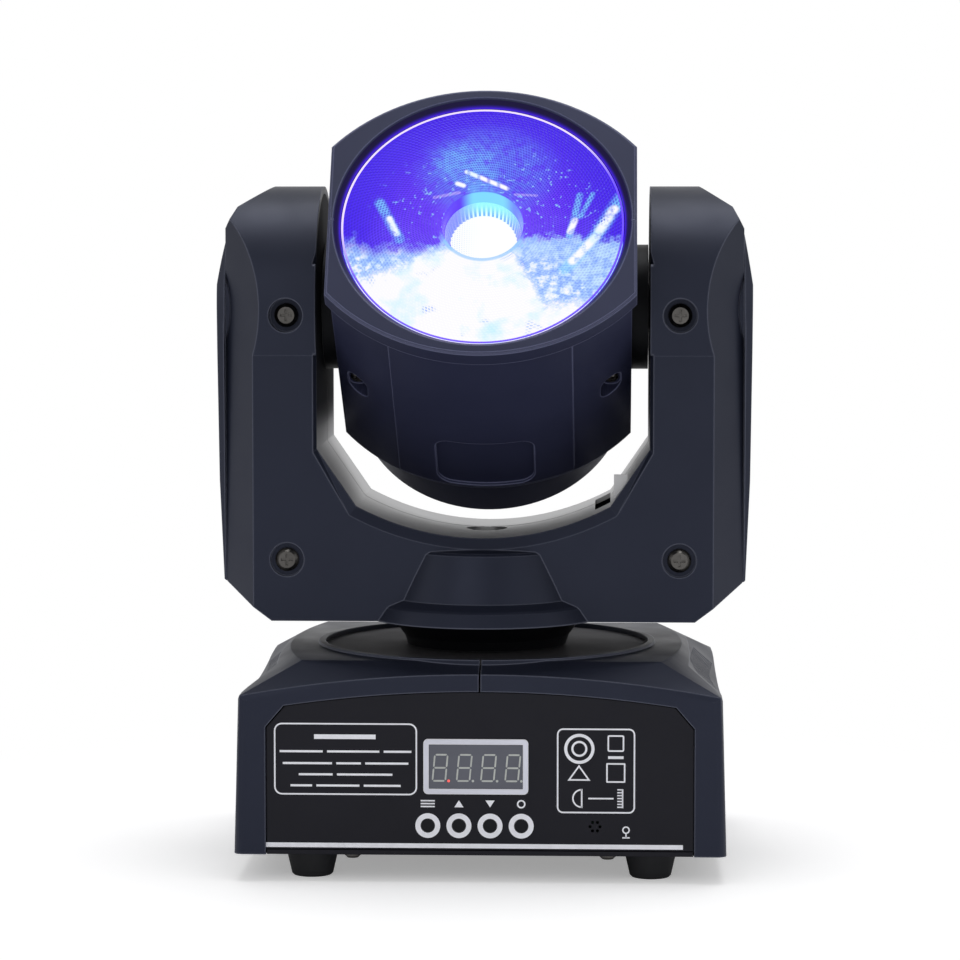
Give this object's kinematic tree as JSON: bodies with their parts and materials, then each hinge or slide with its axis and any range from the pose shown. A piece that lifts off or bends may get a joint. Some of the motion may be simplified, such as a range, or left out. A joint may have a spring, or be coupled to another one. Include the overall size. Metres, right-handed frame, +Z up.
{
  "type": "moving head light",
  "caption": "Compact moving head stage light: square base with display and keys, panning U-shaped yoke, and a tilting barrel-shaped head with a cupped collimator lens.",
  "frame": {"origin": "on the pan axis, at the plane that the feet stand on", "axes": "+Z up along the pan axis; -Y is the front, with the display; +X is the right side seen from the front"},
  "size_m": [0.178, 0.1454, 0.2574],
  "materials": {
    "housing_plastic": "satin, fine moulded texture",
    "black_plastic": "satin",
    "panel_paint": "satin black paint",
    "plate_paint": "black powder coat",
    "disc_paint": "matt dark brown-grey paint",
    "white_plastic": "semi-gloss white",
    "display_plastic": "smoked grey",
    "foot_rubber": "matt",
    "screw_steel": "nickel plated",
    "sheet_aluminium": "brushed",
    "machined_steel": "turned",
    "contact_brass": "plated",
    "motor_paint": "black lacquer",
    "board": "solder mask",
    "belt_rubber": "matt",
    "lens_acrylic": "clear, lit blue-violet",
    "led_ceramic": "ceramic white"
  },
  "bodies": {
    "base": {"base_cover_left": "housing_plastic", "base_cover_right": "housing_plastic", "bottom_plate": "plate_paint", "feet": "foot_rubber", "bottom_screws": "screw_steel", "front_panel": "panel_paint", "display_frame": "white_plastic", "display_window": "display_plastic", "display_module": "black_plastic", "control_board": "board", "rear_panel": "panel_paint", "power_inlet": "black_plastic", "power_pins": "contact_brass", "fuse_holder": "black_plastic", "dmx_in_socket": "black_plastic", "dmx_in_pins": "screw_steel", "dmx_out_socket": "black_plastic", "power_supply": "sheet_aluminium", "turntable_disc": "disc_paint", "disc_pillars": "machined_steel", "pan_bearing_block": "machined_steel", "pan_bearings": "machined_steel", "pan_motor": "motor_paint", "pan_belt": "belt_rubber"},
    "pan_drive": {"pan_motor_pulley": "machined_steel"},
    "menu_key": {"menu_button": "black_plastic"},
    "up_key": {"up_button": "black_plastic"},
    "down_key": {"down_button": "black_plastic"},
    "enter_key": {"enter_button": "black_plastic"},
    "yoke": {"pan_shaft": "machined_steel", "pan_pulley": "black_plastic", "pan_collar": "black_plastic", "yoke_front_shell": "housing_plastic", "yoke_rear_shell": "housing_plastic", "yoke_frame": "sheet_aluminium", "left_side_cover": "housing_plastic", "right_side_cover": "housing_plastic", "yoke_screws": "screw_steel", "tilt_bearings": "machined_steel", "tilt_motor": "motor_paint", "tilt_belt": "belt_rubber", "driver_board": "board"},
    "tilt_drive": {"tilt_motor_pulley": "machined_steel"},
    "head": {"head_upper_shell": "housing_plastic", "head_lower_shell": "housing_plastic", "front_lens": "lens_acrylic", "led_module": "led_ceramic", "heat_sink": "sheet_aluminium", "fan_frame": "black_plastic", "tilt_axle_left": "black_plastic", "tilt_axle_right": "black_plastic", "tilt_pulley": "black_plastic", "head_screws": "screw_steel"},
    "fan": {"fan_rotor": "black_plastic"}
  },
  "joints": [
    {"name": "pan", "type": "hinge", "parent": "base", "child": "yoke", "pos_m": [0, 0, 0.08], "axis": [0, 0, 1], "range_deg": [-270, 270]},
    {"name": "tilt", "type": "hinge", "parent": "yoke", "child": "head", "pos_m": [0, 0, 0.185], "axis": [-1, 0, 0], "range_deg": [-55, 165]},
    {"name": "pan_motor_spin", "type": "hinge", "parent": "base", "child": "pan_drive", "pos_m": [0.048, -0.01, 0.038], "axis": [0, 0, 1], "range_deg": [-1260, 1260]},
    {"name": "tilt_motor_spin", "type": "hinge", "parent": "yoke", "child": "tilt_drive", "pos_m": [0.08, 0, 0.13], "axis": [-1, 0, 0], "range_deg": [-165, 495]},
    {"name": "fan_spin", "type": "hinge", "parent": "head", "child": "fan", "pos_m": [0, 0.03801, 0.15839], "axis": [0, -0.8192, 0.5736], "continuous": true},
    {"name": "menu_press", "type": "slide", "parent": "base", "child": "menu_key", "axis": [0, 1, 0], "range_m": [0, 0.0005], "stiffness_N_per_m": 800},
    {"name": "up_press", "type": "slide", "parent": "base", "child": "up_key", "axis": [0, 1, 0], "range_m": [0, 0.0005], "stiffness_N_per_m": 800},
    {"name": "down_press", "type": "slide", "parent": "base", "child": "down_key", "axis": [0, 1, 0], "range_m": [0, 0.0005], "stiffness_N_per_m": 800},
    {"name": "enter_press", "type": "slide", "parent": "base", "child": "enter_key", "axis": [0, 1, 0], "range_m": [0, 0.0005], "stiffness_N_per_m": 800}
  ],
  "couplings": [
    {"joint": "pan_motor_spin", "follows": "pan", "ratio": 4.6667},
    {"joint": "tilt_motor_spin", "follows": "tilt", "ratio": 3}
  ]
}
